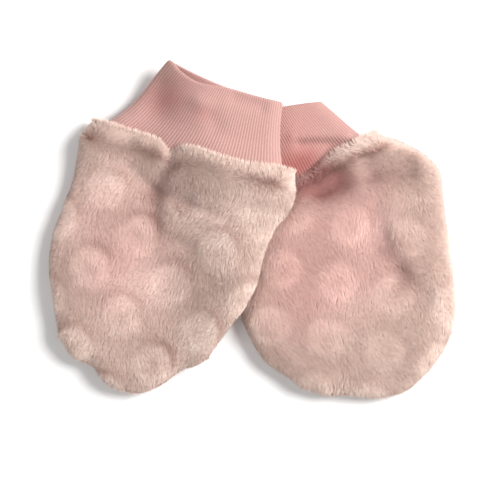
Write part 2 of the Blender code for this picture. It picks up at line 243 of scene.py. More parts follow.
def rounded(distance, radius):
    """Height share of a rounded edge: 0 at its rim, 1 from the radius inwards."""
    x = min(max(distance / radius, 0.0), 1.0)
    return math.sqrt(1 - (1 - x) ** 2)


def nearer(a, b):
    """A soft smaller of two distances, which is 0 where either is 0."""
    return 0.0 if a <= 0 or b <= 0 else (a**-4 + b**-4) ** -0.25


def curve(knots, at):
    """A smooth curve's value through (at, value) knots."""
    if at <= knots[0][0]:
        return knots[0][1]
    if at >= knots[-1][0]:
        return knots[-1][1]
    last = len(knots) - 1
    i = next(k for k in range(last) if at <= knots[k + 1][0])
    (x0, y0), (x1, y1) = knots[i], knots[i + 1]

    def slope(k):
        before, after = knots[max(k - 1, 0)], knots[min(k + 1, last)]
        return (after[1] - before[1]) / (after[0] - before[0])

    t, span = (at - x0) / (x1 - x0), x1 - x0
    return (
        y0 * (2 * t**3 - 3 * t**2 + 1)
        + span * slope(i) * (t**3 - 2 * t**2 + t)
        + y1 * (3 * t**2 - 2 * t**3)
        + span * slope(i + 1) * (t**3 - t**2)
    )


def from_line(point, line):
    """Distance of a plan point to the right of a line that runs down the layout."""
    (x0, y0), (x1, y1) = line
    return ((point[1] - y0) * (x1 - x0) - (point[0] - x0) * (y1 - y0)) / math.hypot(x1 - x0, y1 - y0)


print("tables:", {f["name"]: [len(f[t]) for t in ("body", "cuff", "folds")] for f in (LEFT, RIGHT)})


# %% [markdown]
# ## One mitten as a formula
#
# A simulation could drop two sewn bags on a table, but it would never land in the photographed folds.
# A formula does: it turns a station and a share of the section, from -1 at the left edge to 1 at the
# right, into a point. Folds are soft troughs along short lines. A plush dot is a ring-shaped swelling
# that dips in the middle.

# %% The mitten's shape
class Mitten:
    def __init__(self, facts):
        self.facts = facts
        self.name = facts["name"]
        body = [dict(zip(BODY_COLUMNS, row)) for row in facts["body"]]
        cuff = [dict(zip(CUFF_COLUMNS, row)) for row in facts["cuff"]]
        self.folds = [dict(zip(FOLD_COLUMNS, row)) for row in facts["folds"]]
        self.waves = [dict(zip(WAVE_COLUMNS, row)) for row in facts["tip_waves"]]
        self.lip, self.tip, self.mouth = body[0]["station"], body[-1]["station"], cuff[0]["station"]
        self.cuff_end = self.lip + TUCK
        self.lip_rise = body[0]["rise"]
        self.body = {c: [(r["station"], r[c]) for r in body] for c in BODY_COLUMNS[1:]}
        inside = FRONT_WALL + SEAM_GAP + TUCK_SLACK
        for station in (self.lip, self.lip + TUCK / 2, self.lip + TUCK):
            row = {c: curve(self.body[c], station) for c in ("slant", "bow")}
            row.update({c: curve(self.body[c], station) - inside for c in ("left", "right")})
            cuff.append({"station": station, **row})
        self.cuff = {c: [(r["station"], r[c]) for r in cuff] for c in CUFF_COLUMNS[1:]}

    def place(self, table, u, station, inset=0.0, tip_inset=0.0):
        """(station, reach, distance in from the side) of the point at the share u of a section."""
        left = curve(table["left"], station) - inset
        right = curve(table["right"], station) - inset
        half = (left + right) / 2
        slant, bow = curve(table["slant"], station), curve(table["bow"], station)
        at = station + slant * u / 2 + bow * (1 - u * u)
        at -= tip_inset * (station - self.lip) / (self.tip - self.lip)
        reach = (right - left) / 2 + u * half
        near_tip = smooth((station - WAVES_FROM) / (self.tip - WAVES_FROM))
        for wave in self.waves if near_tip else ():
            at += near_tip * wave["out"] * math.exp(-(((reach - wave["reach"]) / wave["width"]) ** 2))
        return at, reach, (1 - abs(u)) * half

    def fold_lift(self, at, reach, side_gap):
        """How far the folds lift the upper cloth at a point."""
        total = 0.0
        for fold in self.folds:
            ax, ay = fold["from_station"], fold["from_reach"]
            dx, dy = fold["to_station"] - ax, fold["to_reach"] - ay
            t = min(max(((at - ax) * dx + (reach - ay) * dy) / (dx * dx + dy * dy), 0.0), 1.0)
            away = math.hypot(at - ax - t * dx, reach - ay - t * dy)
            total += fold["lift"] * math.exp(-((away / fold["width"]) ** 2))
        return total * smooth(side_gap / FOLD_FADE)

    def dot_share(self, at, reach):
        """How far a point belongs to a dot's raised ring, from 0 to 1."""
        turn = math.radians(45 + self.facts["dot_turn"])
        x, y = at - self.facts["dot_at"][0], reach - self.facts["dot_at"][1]
        p = (x * math.cos(turn) + y * math.sin(turn)) / DOT_PITCH
        q = (y * math.cos(turn) - x * math.sin(turn)) / DOT_PITCH
        r = DOT_PITCH * math.hypot(p - round(p), q - round(q))
        ring = math.exp(-(((r - DOT_CREST) / DOT_SPREAD) ** 2))
        if r < DOT_CREST:
            ring = max(ring, 1 - (1 - DOT_CENTRE) * (1 - r / DOT_CREST) ** 2)
        return ring * smooth((at - FIRST_DOTS) / DOT_FADE)

    def front(self, u, station, inset=0.0):
        """(station, reach, height) of the front panel's face."""
        at, reach, side = self.place(self.body, u, station, inset, inset)
        end = self.place(self.body, u, self.tip, inset, inset)[0]
        rim = nearer(side, max(end - at, 0.0))
        for middle, width, depth in self.facts["lip_notches"]:
            dent = math.exp(-(((reach - middle) / width) ** 2))
            at += depth * dent * smooth(1 - (station - self.lip) / LIP_NOTCH_FADE)
        top = curve(self.body["rise"], station) - CROWN_DROP * u * u - inset
        low = SEAM_HEIGHT + SEAM_GAP / 2
        height = low + (top - low) * rounded(rim, FRONT_ROUND - inset)
        height += self.fold_lift(at, reach, rim + inset)
        if not inset:
            lowered = 1 - rounded(station - self.lip, LIP_ROUND)
            height -= LIP_DROP * lowered * smooth(side / FRONT_ROUND)
        return at, reach, height

    def back(self, u, station, inset=0.0):
        """The same for the back panel."""
        at, reach, side = self.place(self.body, u, station, inset, inset)
        end = self.place(self.body, u, self.tip, inset, inset)[0]
        rim = nearer(side, max(end - at, 0.0))
        high = SEAM_HEIGHT - SEAM_GAP / 2
        return at, reach, high - (high - inset) * rounded(rim, BACK_ROUND - inset)

    def cuff_point(self, turn, station, inset=0.0):
        """The same for the cuff: the turn runs over the top from 0 to 1, and back under to 2."""
        above = turn <= 1
        u = 2 * turn - 1 if above else 3 - 2 * turn
        at, reach, side = self.place(self.cuff, u, station, inset)
        share = smooth((self.lip - station) / CUFF_SETTLE)
        tucked = self.lip_rise - FRONT_WALL - SEAM_GAP - TUCK_SLACK
        high = SEAM_HEIGHT + (CUFF_SIDE_HEIGHT - SEAM_HEIGHT) * share
        top = tucked + (CUFF_HEIGHT - tucked) * share
        bottom = (BACK_WALL + SEAM_GAP + TUCK_SLACK) * (1 - share)
        tucked_round = FRONT_ROUND - FRONT_WALL - SEAM_GAP
        radius = tucked_round + (CUFF_ROUND - tucked_round) * share
        if not above:
            return at, reach, high - (high - bottom - inset) * rounded(side, radius - inset)
        height = high + (top - CROWN_DROP * u * u - inset - high) * rounded(side, radius - inset)
        height += self.fold_lift(at, reach, side + inset + FRONT_WALL + SEAM_GAP)
        setback = math.exp(-(((u - SETBACK_AT) / SETBACK_WIDTH) ** 2)) * smooth(side / SETBACK_SIDE)
        near_mouth = smooth((self.mouth + SETBACK_LENGTH - station) / SETBACK_LENGTH)
        at += self.facts["mouth_setback"] * setback * near_mouth
        return at, reach, height

    def settle(self, point):
        """Lays a point in the layout, in metres."""
        at, reach, height = point
        turn = math.radians(self.facts["turn"])
        x = self.facts["seam_middle"][0] + reach * math.cos(turn) + at * math.sin(turn)
        y = self.facts["seam_middle"][1] + reach * math.sin(turn) - at * math.cos(turn)
        if self.facts["lapped"]:
            ramp = smooth((from_line((x, y), LAP_EDGE) - LAP_RAMP[0]) / (LAP_RAMP[1] - LAP_RAMP[0]))
            step = smooth((LAP_STEP[0] - y) / (LAP_STEP[0] - LAP_STEP[1]))
            z = height + ramp * (LAP_CUFF_HEIGHT + (LAP_BODY_HEIGHT - LAP_CUFF_HEIGHT) * step)
        else:
            covered = smooth((PRESS_RAMP / 2 - from_line((x, y), PRESS_EDGE)) / PRESS_RAMP)
            covered *= smooth((at - PRESS_FROM[0]) / (PRESS_FROM[1] - PRESS_FROM[0]))
            z = height * (1 - (1 - PRESSED) * covered)
        return Vector(((x - CENTRE[0]) * MM, (y - CENTRE[1]) * MM, z * MM))


MITTENS = [Mitten(LEFT), Mitten(RIGHT)]
for m in MITTENS:
    print(m.name, "fingertip at", [round(v / MM, 1) for v in m.settle(m.front(0.0, m.tip))])


# %% [markdown]
# ## Helpers for grids and node trees
#
# A cloth is a grid of points with faces between. Points can carry attributes, such as the way the
# pile lies, which the node trees and the materials read by name.

# %% Grid helpers
def edge_packed(gaps, power=1.6):
    """Shares from -1 to 1 that stand closer together towards both ends."""
    shares = []
    for k in range(gaps + 1):
        x = 2 * k / gaps - 1
        shares.append(math.copysign(1 - (1 - abs(x)) ** power, x) if abs(x) < 1 else float(x))
    return shares


def grid_faces(mesh, grid, closed=False):
    """Faces between the rows of a grid of vertices."""
    for row, following in zip(grid, grid[1:]):
        for k in range(len(row) if closed else len(row) - 1):
            after = (k + 1) % len(row)
            mesh.faces.new((row[k], following[k], following[after], row[after]))


def new_piece(name, mesh, material=None):
    """A bmesh as an object in the scene."""
    data = bpy.data.meshes.new(name)
    mesh.to_mesh(data)
    mesh.free()
    data.shade_smooth()
    obj = bpy.data.objects.new(name, data)
    bpy.context.scene.collection.objects.link(obj)
    if material:
        data.materials.append(material)
    return obj


def carry(obj, name, values, kind="FLOAT"):
    """Writes a point attribute."""
    layer = obj.data.attributes.new(name, kind, "POINT")
    flat = np.asarray(values, dtype=np.float32).ravel()
    layer.data.foreach_set("vector" if kind == "FLOAT_VECTOR" else "value", flat)


# %% Node helpers
def new_tree(name, inputs):
    """An empty Geometry Nodes tree with named inputs, and its input and output nodes."""
    tree = bpy.data.node_groups.new(name, "GeometryNodeTree")
    tree.interface.new_socket("Geometry", in_out="INPUT", socket_type="NodeSocketGeometry")
    tree.interface.new_socket("Geometry", in_out="OUTPUT", socket_type="NodeSocketGeometry")
    for label, kind, value in inputs:
        item = tree.interface.new_socket(label, in_out="INPUT", socket_type=f"NodeSocket{kind}")
        if value is not None:
            item.default_value = value
    return tree, tree.nodes.new("NodeGroupInput"), tree.nodes.new("NodeGroupOutput")


def add(tree, kind, settings=None, **links):
    """A node with its settings; each keyword is an input, by name or by i and its number."""
    node = tree.nodes.new(kind)
    for key, value in (settings or {}).items():
        setattr(node, key, value)
    for key, value in links.items():
        socket = node.inputs[int(key[1:])] if key[1:].isdigit() else node.inputs[key.replace("_", " ")]
        if isinstance(value, bpy.types.NodeSocket):
            tree.links.new(value, socket)
        else:
            socket.default_value = value
    return node


def maths(tree, operation, a, b=0.0, c=0.0):
    return add(tree, "ShaderNodeMath", {"operation": operation}, i0=a, i1=b, i2=c).outputs[0]


def vectors(tree, operation, a, b=(0.0, 0.0, 0.0), scale=1.0):
    node = add(tree, "ShaderNodeVectorMath", {"operation": operation}, i0=a, i1=b, i3=scale)
    return node.outputs[1 if operation in ("DOT_PRODUCT", "LENGTH") else 0]


def read(tree, name, kind="FLOAT"):
    node = add(tree, "GeometryNodeInputNamedAttribute", {"data_type": kind})
    node.inputs["Name"].default_value = name
    return node.outputs["Attribute"]


def grown(obj, tree, values, name):
    """Runs a tree on an object and returns the result as a plain new object."""
    modifier = obj.modifiers.new("nodes", "NODES")
    modifier.node_group = tree
    for item in tree.interface.items_tree:
        if item.in_out == "INPUT" and item.name in values:
            modifier[item.identifier] = values[item.name]
    result = obj.evaluated_get(bpy.context.evaluated_depsgraph_get())
    data = bpy.data.meshes.new_from_object(result)
    data.name = name
    obj.modifiers.remove(modifier)
    piece = bpy.data.objects.new(name, data)
    bpy.context.scene.collection.objects.link(piece)
    data.calc_loop_triangles()
    print(name, len(data.loop_triangles), "triangles")
    return piece


# %% [markdown]
# ## Colours of the cloth
#
# Dotted plush is knitted with a pink ground and long cream-tipped fibres. Where the pile lies down
# the cream tips cover it, and where it parts or is stroked up the pink shows. A blade's colour
# therefore runs along the blade, from its root to its tip, with a random tone for each blade. Shade
# in the hollows and creases and on the dots' slopes is painted into the colour as well, and so is
# light on the dots' rings and the lip. Broad patches of tone and of painted shade could be painted
# as a picture, but attributes on the points follow the dots and folds by themselves.

# %% Plush materials
ROOT_PINK = (0.95, 0.695, 0.625, 1.0)
# The dark pink where the pile parts, also used as painted shade in hollows and creases.
OPEN_AND_SHADE_PINK = (0.45, 0.18, 0.165, 1.0)
TIP_CREAM = (1.0, 0.84, 0.75, 1.0)
BLUSH = (1.0, 0.71, 0.66, 1.0)
GROUND_DARK = (0.68, 0.43, 0.385, 1.0)
GROUND_LIGHT = (0.81, 0.575, 0.52, 1.0)
MOTTLED = (0.91, 0.89, 0.88, 1.0)
TONE_DARK = (0.72, 0.675, 0.655, 1.0)
# The colour of painted shade on the pile, reached where the lift is 0.
PILE_SHADE = (0.60, 0.48, 0.455, 1.0)
WHITE = (1.0, 1.0, 1.0, 1.0)
PILE_ROUGHNESS = 0.48
PILE_SHEEN = 0.25
PILE_SPECULAR = 0.45
CLOTH_SPECULAR = 0.15
TIP_FADE = (0.1, 0.7)
OPEN_AND_SHADE_FADE = (0.0, 1.1)
BLUSH_EVENS = (0.0, 1.7)
MOTTLE_SCALES = (240.0, 900.0)
GROUND_SCALE = 900.0
GROUND_ROUGHNESS = 0.95
NOISE_EDGES = (0.35, 0.65)


def surface(name, roughness, sheen=0.0, specular=CLOTH_SPECULAR):
    """A new Principled material, its tree and its shader."""
    material = bpy.data.materials.new(name)
    material.use_nodes = True
    tree = material.node_tree
    shader = tree.nodes["Principled BSDF"]
    shader.inputs["Roughness"].default_value = roughness
    shader.inputs["Specular IOR Level"].default_value = specular
    shader.inputs["Sheen Weight"].default_value = sheen
    shader.inputs["Sheen Roughness"].default_value = 0.5
    return material, tree, shader


def blend(tree, share, a, b, mode="MIX"):
    """The colour a, mixed with b by a share that is a number or a socket."""
    node = tree.nodes.new("ShaderNodeMix")
    node.data_type = "RGBA"
    node.blend_type = mode
    for socket, value in ((node.inputs[0], share), (node.inputs[6], a), (node.inputs[7], b)):
        if isinstance(value, bpy.types.NodeSocket):
            tree.links.new(value, socket)
        else:
            socket.default_value = value
    return node.outputs[2]


def attribute(tree, name):
    """A point attribute as a number."""
    node = tree.nodes.new("ShaderNodeAttribute")
    node.attribute_name = name
    return node.outputs["Fac"]


def object_noise(tree, scale, detail=2.0):
    """Noise that is fixed to the object's own coordinates."""
    place = tree.nodes.new("ShaderNodeTexCoord")
    noise = tree.nodes.new("ShaderNodeTexNoise")
    noise.inputs["Scale"].default_value = scale
    noise.inputs["Detail"].default_value = detail
    tree.links.new(place.outputs["Object"], noise.inputs["Vector"])
    return noise.outputs["Fac"]


def ramp(tree, value, low, high):
    """0 below low, 1 above high, and even between."""
    node = tree.nodes.new("ShaderNodeMapRange")
    node.inputs["From Min"].default_value = low
    node.inputs["From Max"].default_value = high
    tree.links.new(value, node.inputs["Value"])
    return node.outputs["Result"]


def pile_material():
    """Blade by blade: pink root, cream tip, dark pink where parted, and painted shade and light."""
    material, tree, shader = surface("plush_pile", PILE_ROUGHNESS, PILE_SHEEN, PILE_SPECULAR)
    blush = attribute(tree, "blush")
    tips = blend(tree, blush, TIP_CREAM, BLUSH)
    shade = blend(tree, ramp(tree, attribute(tree, "along"), *TIP_FADE), ROOT_PINK, tips)
    # Dark pink where the pile parts, and painted shade in hollows and creases.
    shade = blend(tree, ramp(tree, attribute(tree, "open"), *OPEN_AND_SHADE_FADE), shade, OPEN_AND_SHADE_PINK)
    mottle = blend(tree, attribute(tree, "tone"), TONE_DARK, WHITE)
    for scale in MOTTLE_SCALES:
        patch = blend(tree, ramp(tree, object_noise(tree, scale), *NOISE_EDGES), MOTTLED, WHITE)
        mottle = blend(tree, 1.0, mottle, patch, "MULTIPLY")
    mottle = blend(tree, ramp(tree, blush, *BLUSH_EVENS), mottle, WHITE)
    shade = blend(tree, 1.0, shade, mottle, "MULTIPLY")
    # Painted shade and light: the pile darkens towards the shade colour as the lift falls.
    pile_shade = blend(tree, attribute(tree, "lift"), PILE_SHADE, WHITE)
    tree.links.new(blend(tree, 1.0, shade, pile_shade, "MULTIPLY"), shader.inputs["Base Color"])
    return material


def ground_material():
    """The knitted ground under the pile."""
    material, tree, shader = surface("plush_ground", GROUND_ROUGHNESS)
    knit = ramp(tree, object_noise(tree, GROUND_SCALE), *NOISE_EDGES)
    shade = blend(tree, knit, GROUND_DARK, GROUND_LIGHT)
    # Dark pink where the pile parts, and painted shade in hollows and creases.
    shade = blend(tree, attribute(tree, "open"), shade, OPEN_AND_SHADE_PINK)
    tree.links.new(shade, shader.inputs["Base Color"])
    return material


PILE = pile_material()
GROUND = ground_material()
print("plush materials:", PILE.name, GROUND.name)

# %% [markdown]
# ## The plush ground
#
# Each panel is a shell: a fine outer sheet with the dots and folds, set in from the solid's face by
# the depth of the pile, and a plain inner sheet. At the mouth the front panel's edge turns over in a
# small roll, as a seam allowance does. Thickening one sheet with a modifier would carry every dot
# through to the inside, so the two sheets are drawn apart and joined at their edge.

# %% Sizes of the plush
PILE_DEPTH = 1.2
UNDER_PILE_DEPTH = 0.9
BETWEEN_DOTS = 0.15
RIM_DOTS = 0.35
RIM_STEEPNESS = 1.3
RESTING = (1.6, 0.5)
PANEL_GAPS = (84, 76)
INNER_STEP = 2
TIP_PACKING = 1.3
LIP_SETBACK = 1.0
LIP_UPRIGHT = 3.0
LIP_ROLL_DOWN = 1.0
LIP_ROLL_OUT = 0.8
LIP_ROLL_TURN = 110
LIP_ROLL_ROWS = 4


# %% Helpers for whole arrays of points
def unit(directions):
    """The same directions, one unit long."""
    return directions / np.maximum(np.linalg.norm(directions, axis=2, keepdims=True), 1e-12)


def soft(x):
    """The soft step for whole arrays."""
    x = np.clip(x, 0.0, 1.0)
    return x * x * (3 - 2 * x)


def outward(points, down=False):
    """Unit normals of a grid of points, pointing up, or down for a back panel."""
    normal = unit(np.cross(np.gradient(points, axis=0), np.gradient(points, axis=1)))
    return -normal if down else normal


def patches(local, spots):
    """Sum of soft spots, each given by its station, reach, width and strength."""
    total = np.zeros(local.shape[:2])
    for at, reach, wide, strength in spots:
        away = (local[:, :, 0] - at) ** 2 + (local[:, :, 1] - reach) ** 2
        total += strength * np.exp(-away / wide**2)
    return np.clip(total, 0.0, 1.0)


def station_rows(mitten, gaps, start=0.0):
    """Stations from the lip to the fingertip, closer together towards the tip."""
    low = mitten.lip + start
    return [low + (mitten.tip - low) * (1 - (1 - k / gaps) ** TIP_PACKING) for k in range(gaps + 1)]


# %% The edge between two sheets
def rim_of(grid):
    """A sheet's border, once round."""
    right = [row[-1] for row in grid[1:-1]]
    left = [row[0] for row in grid[-2:0:-1]]
    return grid[0] + right + grid[-1][::-1] + left


def close_edge(mesh, fine, coarse):
    """Joins a closed loop of vertices to one that has a whole share of them."""
    ratio = len(fine) // len(coarse)
    for k, near in enumerate(coarse):
        far = coarse[(k + 1) % len(coarse)]
        run = [fine[(k * ratio + i) % len(fine)] for i in range(ratio + 1)]
        half = (ratio + 1) // 2
        for i in range(ratio):
            mesh.faces.new((run[i], run[i + 1], near if i < half else far))
        mesh.faces.new((run[half], far, near))


def lip_roll(mitten, edge):
    """Rows of points from the underside of the lip's turned edge up to the first row of its face."""
    turn = math.radians(mitten.facts["turn"])
    out = np.array((-math.sin(turn), math.cos(turn), 0.0)) * LIP_ROLL_OUT * MM
    down = np.array((0.0, 0.0, -LIP_ROLL_DOWN * MM))
    angles = [math.radians(LIP_ROLL_TURN) * k / LIP_ROLL_ROWS for k in range(LIP_ROLL_ROWS, 0, -1)]
    return np.array([edge + out * math.sin(a) + down * (1 - math.cos(a)) for a in angles])


# %% The points of a panel's outer sheet
def panel_face(mitten, side):
    """Where each point is, how upright it faces, how much of a dot it is, and where it rests."""
    down = side == "back"
    shape, depth = (mitten.back, UNDER_PILE_DEPTH) if down else (mitten.front, PILE_DEPTH)
    rolled = 0 if down else LIP_ROLL_ROWS
    columns = edge_packed(PANEL_GAPS[0])
    stations = station_rows(mitten, PANEL_GAPS[1] - rolled, 0.0 if down else LIP_SETBACK)
    local = np.array([[shape(u, s) for u in columns] for s in stations])
    plain = np.array([[mitten.settle(point) for point in row] for row in local])
    normal = outward(plain, down)
    u = np.array(columns)[None, :, None]
    s = np.array(stations)[:, None, None]
    if rolled:
        at_lip = soft(1 - (s - mitten.lip) / LIP_ROUND)
        normal = unit(normal + at_lip * np.array((0.0, 0.0, LIP_UPRIGHT)))
    upright = np.abs(normal[:, :, 2])
    dots = np.array([[mitten.dot_share(*point[:2]) for point in row] for row in local])
    dotted = soft((local[:, :, 0] - FIRST_DOTS) / DOT_FADE)
    dots *= 1 - patches(local, mitten.facts["flattened"])
    resting = np.clip(upright * RESTING[0] - RESTING[1], 0, 1) if down else np.zeros_like(dots)
    relief = DOT_RELIEF * dots - BETWEEN_DOTS * (1 - dots) * dotted
    relief *= (1 - resting) * (1 - (1 - RIM_DOTS) * np.clip(1 - upright * RIM_STEEPNESS, 0, 1))
    raised = plain + normal * ((relief - depth) * MM)[:, :, None]
    if rolled:
        raised = np.concatenate((lip_roll(mitten, raised[0]), raised))
    return SimpleNamespace(
        u=u, s=s, local=local, plain=plain, raised=raised,
        upright=upright, dots=dots, resting=resting, rolled=rolled,
    )


# %% The shell, and the bed that the pile grows on
def panel_shell(mitten, side, raised):
    """The outer sheet, the plain inner one and the cut edge between them."""
    shape, wall = (mitten.back, BACK_WALL) if side == "back" else (mitten.front, FRONT_WALL)
    columns = edge_packed(PANEL_GAPS[0])[::INNER_STEP]
    rows = station_rows(mitten, PANEL_GAPS[1] // INNER_STEP)
    mesh = bmesh.new()
    outside = [[mesh.verts.new(p) for p in row] for row in raised]
    grid_faces(mesh, outside)
    inside = [[mesh.verts.new(mitten.settle(shape(u, s, wall))) for u in columns] for s in rows]
    grid_faces(mesh, inside)
    close_edge(mesh, rim_of(outside), rim_of(inside))
    bmesh.ops.recalc_face_normals(mesh, faces=mesh.faces)
    return new_piece(f"{mitten.name}_{side}_plush_ground", mesh, GROUND)


def panel_bed(mitten, side, raised):
    """The outer sheet alone, with its faces outwards."""
    mesh = bmesh.new()
    grid_faces(mesh, [[mesh.verts.new(p) for p in row] for row in raised])
    bmesh.ops.recalc_face_normals(mesh, faces=mesh.faces)
    up = sum(f.normal.z for f in mesh.faces)
    if (up < 0) != (side == "back"):
        bmesh.ops.reverse_faces(mesh, faces=mesh.faces)
    return new_piece(f"{mitten.name}_{side}_bed", mesh)


# %% [markdown]
# ## How the pile was stroked
#
# Pile keeps the way it was last stroked, here towards the fingertip and over at the sides, and it
# turns round to the mouth at the lip, where it is longest. Each point also keeps how pink the pile
# is, where it is parted, and the painted shade and light of the pile. Slopes of a dot that face
# away from the light and the nap get painted shade, and so do the creases; the parted patches are
# also painted shade in the hollows. The dots' rings and the lip get painted light. Painting that on
# a picture would need a picture for each panel, and the points already know their place.

# %% Sizes of the stroke and of the painted shade and light
SWEEPS = ((0.35, 5.1, 0.11), (0.25, -3.0, 0.23))
SIDE_BAND = (0.82, 0.18)
SIDE_PULL = 0.9
SIDE_SHORTER = 0.2
LIP_SWIRL = 9.0
LIP_HANG = -0.1
LIP_FLUFF = 0.35
# Painted light along the lip.
LIP_LIGHT = 0.28
PARTED_SHORTER = 0.15
BLUSH_SLOPES = (0.35, 0.6)
DEEPEST_CREASE = 2
CREASE_SHADE = 0.06
# Painted shade in the creases, as dark pink on top of the parted patches.
CREASE_SHADE_PINK = 0.13
NAP_SHADE = np.array((-0.45, -0.89, 0.0))
SHORTEST_STEP = 0.05
# The lift paints light and shade on the pile; DOT_LIFT paints the dots' rings lighter.
LIFT = 0.62
DOT_LIFT = 0.3


# %% The way the pile lies
def ways(face):
    """Unit directions along the mitten and across it, at each point."""
    return unit(np.gradient(face.plain, axis=0)), unit(np.gradient(face.plain, axis=1))


def side_share(face):
    """From -1 at the left edge to 1 at the right one, and 0 in the broad middle."""
    return np.sign(face.u) * np.clip((np.abs(face.u) - SIDE_BAND[0]) / SIDE_BAND[1], 0, 1)


def combed(mitten, face):
    """The stroke at each point, the turned edge's rows first."""
    along, across = ways(face)
    to_side = side_share(face)
    to_lip = math.pi * soft(1 - (face.s - mitten.lip - LIP_SETBACK) / LIP_SWIRL)
    sweep = sum(far * np.sin(face.u * over + face.s * on) for far, over, on in SWEEPS)
    comb = along * np.cos(to_lip) + across * np.sin(to_lip)
    comb = comb + across * (SIDE_PULL * to_side + sweep * (1 - np.abs(to_side)))
    if face.rolled:
        turn = math.radians(mitten.facts["turn"])
        mouthward = np.array((-math.sin(turn), math.cos(turn), LIP_HANG))
        comb = np.concatenate((np.tile(mouthward, (face.rolled, comb.shape[1], 1)), comb))
    return comb


# %% How pink and parted the pile is, and its painted shade and light
def slope_of(face):
    """How steeply the dots rise against the light and the nap, per millimetre."""
    along, across = ways(face)
    step_s = np.linalg.norm(np.gradient(face.plain, axis=0), axis=2) / MM
    step_u = np.linalg.norm(np.gradient(face.plain, axis=1), axis=2) / MM
    rise_s = np.gradient(face.dots, axis=0) / np.maximum(step_s, SHORTEST_STEP)
    rise_u = np.gradient(face.dots, axis=1) / np.maximum(step_u, SHORTEST_STEP)
    return rise_s * (along @ NAP_SHADE) + rise_u * (across @ NAP_SHADE)


def creases(mitten, face):
    """How deep in a fold each point lies, in millimetres."""
    lifts = [[mitten.fold_lift(*point[:2], FRONT_ROUND) for point in row] for row in face.local]
    return np.clip(-np.array(lifts), 0, DEEPEST_CREASE)


def marks(mitten, side, face):
    """The attributes of the pile's bed by name."""
    front = side == "front"
    crease = creases(mitten, face) if front else np.zeros_like(face.dots)
    # Creases add painted shade to the parted patches.
    parting_and_shade = patches(face.local, mitten.facts["parted"]) + CREASE_SHADE_PINK * crease
    parted = np.clip(parting_and_shade, 0, 1) if front else np.zeros_like(face.dots)
    facing_up = soft((face.upright - BLUSH_SLOPES[0]) / BLUSH_SLOPES[1])
    pink = patches(face.local, mitten.facts["blushed"]) * facing_up
    fluff = soft(1 - (face.s[:, :, 0] - mitten.lip) / LIP_SWIRL)
    short = 1 - SIDE_SHORTER * np.abs(side_share(face)[:, :, 0])
    short = short * (1 - PARTED_SHORTER * parted) * (1 + LIP_FLUFF * fluff)
    # Painted shade on dot slopes that face away from the light and in creases, painted light on the
    # dots' rings and the lip.
    shade = mitten.facts["dot_shade"] * slope_of(face)
    lift = LIFT + DOT_LIFT * face.dots + LIP_LIGHT * fluff - shade - CREASE_SHADE * crease
    found = {
        "short": short,
        "rest": face.resting,
        "pink": pink,
        "parted": parted,
        "lift": np.clip(lift, 0, 1),
    }
    return {k: np.concatenate((np.repeat(v[:1], face.rolled, axis=0), v)) for k, v in found.items()}


# %% Lay out the four panels
def panel(mitten, side):
    """(ground, bed) of one panel, both with their attributes."""
    face = panel_face(mitten, side)
    ground = panel_shell(mitten, side, face.raised)
    bed = panel_bed(mitten, side, face.raised)
    carry(bed, "comb", combed(mitten, face), "FLOAT_VECTOR")
    found = marks(mitten, side, face)
    for name, values in found.items():
        carry(bed, name, values)
    hidden = np.zeros(len(ground.data.vertices) - found["parted"].size)
    carry(ground, "open", np.concatenate((found["parted"].ravel(), hidden)))
    print(ground.name, len(ground.data.polygons), "faces")
    return ground, bed


BEDS = {(m.name, side): panel(m, side) for m in MITTENS for side in ("front", "back")}


# %% [markdown]
# ## The pile
#
# Brushed pile is a great many soft fibres that cling together in small locks. Particle hair would do
# it for a render, but it leaves no mesh. Geometry Nodes can scatter a small pointed blade of one
# triangle over the bed, lean each one the way the pile was stroked, pull it towards its nearest lock,
# and turn the result into plain faces.

# %% One blade of pile
def blade():
    """A pointed leaf of one triangle, one unit wide and one unit tall."""
    mesh = bmesh.new()
    mesh.faces.new([mesh.verts.new(p) for p in ((-0.5, 0.0, 0.0), (0.5, 0.0, 0.0), (0.0, -0.1, 1.0))])
    obj = new_piece("blade", mesh)
    carry(obj, "along", [0.0, 0.0, 1.0])
    return obj


# %% How blades differ from each other
LOOSE = 0.22
BLADE_ROLL = 0.3
BLADE_LENGTHS = (0.7, 1.15)
RESTING_STAND = 0.75
LOCK_SEED = 50.0


